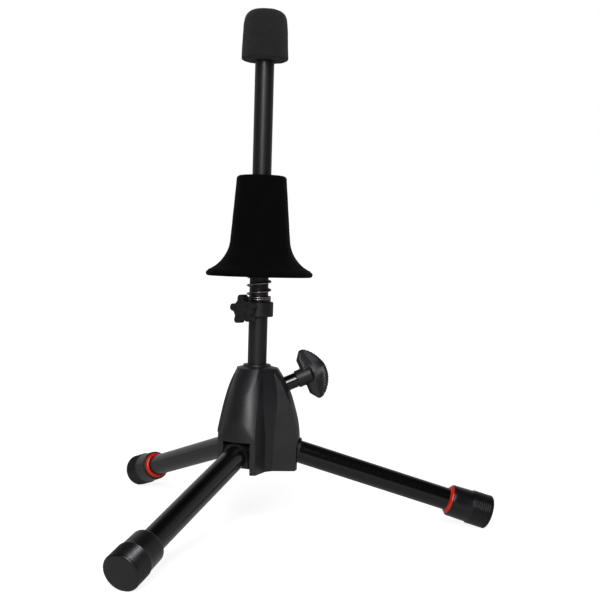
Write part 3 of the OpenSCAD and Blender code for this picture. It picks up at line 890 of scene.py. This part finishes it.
def soften(node, width):
    """Rounds the edges of a CAD node with modifiers, after dropping its custom normals; its points stay as
    imported.
    """
    if "custom_normal" in node.data.attributes:
        node.data.attributes.remove(node.data.attributes["custom_normal"])
    weld = node.modifiers.new("weld", "WELD")
    weld.merge_threshold = 1e-6
    flat = node.modifiers.new("flat", "DECIMATE")
    flat.decimate_type = "DISSOLVE"
    flat.angle_limit = math.radians(0.5)
    round_edges(node, width)


# ---- stage ----
# The floor: its level near the stand and in reflections, and where it fades to white, in metres
FLOOR_SEEN = 0.86
FLOOR_IN_GLOSS = 0.12
FADE_FROM, FADE_TO = 0.30, 0.65
# The room in reflections: the wall behind the stand, and the room's level at the horizon and overhead
BACKDROP = 0.42
ROOM_LOW = 0.05
ROOM_HIGH = 0.03


def build_floor():
    """A plain pale floor: it fades to white for the camera, and is softly lit in reflections."""
    mesh = bpy.data.meshes.new("floor")
    half = 30.0
    corners = [(-half, -half, 0), (half, -half, 0), (half, half, 0), (-half, half, 0)]
    mesh.from_pydata(corners, [], [(0, 1, 2, 3)])
    floor = bpy.data.objects.new("floor", mesh)
    bpy.context.scene.collection.objects.link(floor)
    s = Shader("floor")
    camera_ray = s.add("ShaderNodeLightPath").outputs["Is Camera Ray"]
    point = s.add("ShaderNodeNewGeometry").outputs["Position"]
    away = s.add("ShaderNodeVectorMath", {"operation": "LENGTH"}, n0=point).outputs["Value"]
    seen = s.ramp(away, FADE_FROM, FADE_TO, FLOOR_SEEN, 1.0)
    blend = s.add("ShaderNodeMix", {"data_type": "FLOAT"}, n0=camera_ray, n2=FLOOR_IN_GLOSS, n3=seen)
    cloth = s.ramp(s.noise(40, 3), 0.3, 0.7, 0.55, 0.57)
    shade = s.add("ShaderNodeCombineColor", n0=cloth, n1=cloth, n2=cloth).outputs[0]
    s.fill(s.surface, {"Base Color": shade, "Roughness": 1.0, "Specular IOR Level": 0.0})
    emit = s.add("ShaderNodeEmission", Color=grey(1.0), Strength=blend.outputs[0])
    both = s.add("ShaderNodeAddShader", n0=s.surface.outputs[0], n1=emit.outputs[0])
    s.tree.links.new(both.outputs[0], s.tree.nodes["Material Output"].inputs["Surface"])
    mesh.materials.append(s.material)
    keep_under_the_feet(floor)


def keep_under_the_feet(floor):
    """The floor sinks with the lowest foot when the legs are folded."""
    for k in LEGS:
        end = leg_frame(k) @ Vector((LEG_LEN, 0, 0))
        for marker, spot in (("heel", (end.x, end.y, 0)), ("toe", end)):
            mark = bpy.data.objects.new(leg_name(marker, k), None)
            bpy.context.scene.collection.objects.link(mark)
            mark.parent = NODES[leg_name("leg_tube", k)]
            mark.location = Vector(spot) * MM
            under = floor.constraints.new("FLOOR")
            under.target = mark
            under.floor_location = "FLOOR_NEGATIVE_Z"


def build_world():
    """White for the camera, and a dim room in reflections."""
    world = bpy.data.worlds.new("studio")
    bpy.context.scene.world = world
    world.use_nodes = True
    tree = world.node_tree
    back = tree.nodes["Background"]
    coord = tree.nodes.new("ShaderNodeTexCoord")
    split = tree.nodes.new("ShaderNodeSeparateXYZ")
    tree.links.new(coord.outputs["Generated"], split.inputs[0])

    def fade(axis, start, end, low, high):
        """A level from low to high, as the direction's part along an axis goes from start to end."""
        node = tree.nodes.new("ShaderNodeMapRange")
        node.interpolation_type = "SMOOTHSTEP"
        tree.links.new(split.outputs[axis], node.inputs["Value"])
        for name, value in (("From Min", start), ("From Max", end), ("To Min", low), ("To Max", high)):
            node.inputs[name].default_value = value
        return node.outputs["Result"]

    wall = tree.nodes.new("ShaderNodeMath")
    wall.operation = "MULTIPLY"
    tree.links.new(fade("Y", 0.0, 0.35, 0.0, BACKDROP), wall.inputs[0])
    tree.links.new(fade("Z", 0.5, 0.82, 1.0, 0.0), wall.inputs[1])
    room = tree.nodes.new("ShaderNodeMath")
    room.operation = "ADD"
    tree.links.new(wall.outputs[0], room.inputs[0])
    tree.links.new(fade("Z", 0.0, 0.7, ROOM_LOW, ROOM_HIGH), room.inputs[1])
    pick = tree.nodes.new("ShaderNodeMix")
    pick.data_type = "RGBA"
    path = tree.nodes.new("ShaderNodeLightPath")
    tree.links.new(path.outputs["Is Camera Ray"], pick.inputs[0])
    tree.links.new(room.outputs[0], pick.inputs[6])
    pick.inputs[7].default_value = grey(1.0)
    tree.links.new(pick.outputs[2], back.inputs[0])


def area_light(name, azimuth, elevation, distance, size, power, colour=(1, 1, 1)):
    """A soft box that faces the stand, at an azimuth and an elevation in degrees from its middle."""
    a, e = math.radians(azimuth), math.radians(elevation)
    target = Vector((ROD_X * MM, 0, 0.2))
    away = Vector((math.cos(e) * math.cos(a), math.cos(e) * math.sin(a), math.sin(e)))
    light = bpy.data.lights.new(name, "AREA")
    light.shape = "RECTANGLE"
    light.size, light.size_y = size
    light.energy = power
    light.color = colour
    lamp = bpy.data.objects.new(name, light)
    lamp.location = target + away * distance
    lamp.rotation_euler = (-away).to_track_quat("-Z", "Y").to_euler()
    lamp.visible_camera = False
    bpy.context.scene.collection.objects.link(lamp)


def build_lights():
    """Two soft boxes in front: a strip by the hub, and a large one above the camera."""
    area_light("strip", -100, 25, 1.7, (0.46, 0.66), 14)
    area_light("front", -88, 48, 1.7, (1.0, 0.8), 11, (0.96, 0.94, 1.08))


# ---- camera ----
def build_camera():
    """The camera stands in front of the stand, a little left of it, and looks slightly down."""
    distance, azimuth, height = 0.91512, -4.23, 0.23117
    turn, pitch, roll = -6.41, 2.3, 1.56
    b, p, r = (math.radians(v) for v in (turn, pitch, roll))
    forward = Vector((-math.sin(b) * math.cos(p), math.cos(b) * math.cos(p), -math.sin(p)))
    right = forward.cross(Vector((0, 0, 1))).normalized()
    up = right.cross(forward)
    right, up = right * math.cos(r) + up * math.sin(r), up * math.cos(r) - right * math.sin(r)
    a = math.radians(azimuth)
    place = Vector((ROD_X * MM + distance * math.sin(a), -distance * math.cos(a), height))
    data = bpy.data.cameras.new("camera")
    data.sensor_width, data.lens = 36.0, 65.17
    camera = bpy.data.objects.new("camera", data)
    turned = Matrix((right, up, -forward)).transposed().to_4x4()
    camera.matrix_world = Matrix.Translation(place) @ turned
    bpy.context.scene.collection.objects.link(camera)
    bpy.context.scene.camera = camera


build_hub()
build_foam()
build_velvet()
build_spring()
build_wing()
for k in LEGS:
    build_foot(k)
finish_nodes()
build_floor()
build_world()
build_lights()
build_camera()
bpy.context.scene.view_settings.view_transform = "Standard"
